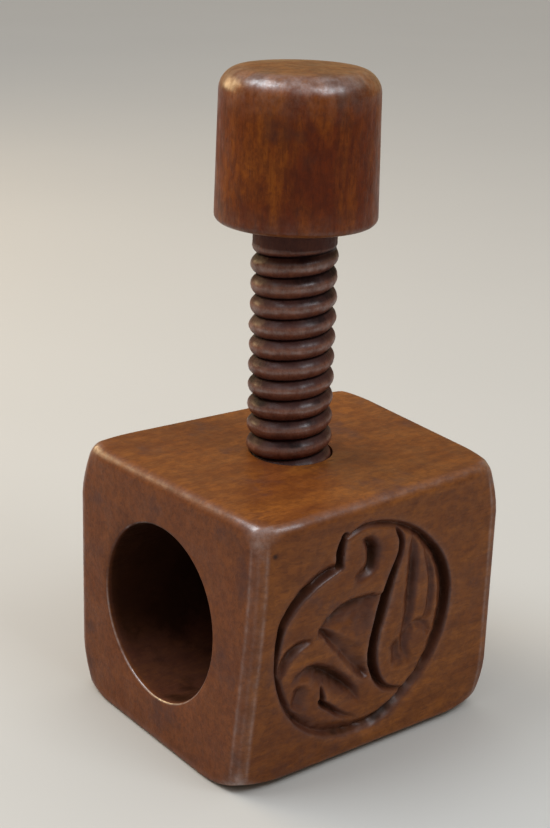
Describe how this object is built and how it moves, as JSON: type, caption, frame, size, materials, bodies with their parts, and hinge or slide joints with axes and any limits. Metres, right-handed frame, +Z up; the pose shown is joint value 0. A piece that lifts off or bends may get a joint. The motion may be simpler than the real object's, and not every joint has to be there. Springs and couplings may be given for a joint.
{
  "type": "screw nutcracker",
  "caption": "Wooden screw nutcracker: a rounded block with a blind nut bore, a carved face and a threaded hole, and a coarse wooden screw with a cylindrical knob that turns down into the bore.",
  "frame": {"origin": "foot of the screw's axis on the block's underside", "axes": "+Z up along the screw, -Y out of the nut bore's mouth, +X out of the carved face"},
  "size_m": [0.0744, 0.0874, 0.1672],
  "materials": {
    "block": "orange-brown hardwood with a worn satin lacquer",
    "screw": "purple-brown turned hardwood, waxed",
    "knob": "dark red-brown turned hardwood, lacquered",
    "dowel": "plain hardwood"
  },
  "bodies": {
    "block": {"block": "block"},
    "carrier": {"knob_dowel": "dowel"},
    "screw": {"screw": "screw", "knob": "knob"}
  },
  "joints": [
    {"name": "screw_travel", "type": "slide", "parent": "block", "child": "carrier", "axis": [0, 0, 1], "range_m": [-0.0417, 0.0053]},
    {"name": "screw_turn", "type": "hinge", "parent": "carrier", "child": "screw", "pos_m": [0, 0, 0], "axis": [0, 0, 1], "range_deg": [-2880, 360]}
  ],
  "couplings": [
    {"joint": "screw_travel", "follows": "screw_turn", "m_per_rad": 0.00082761}
  ]
}
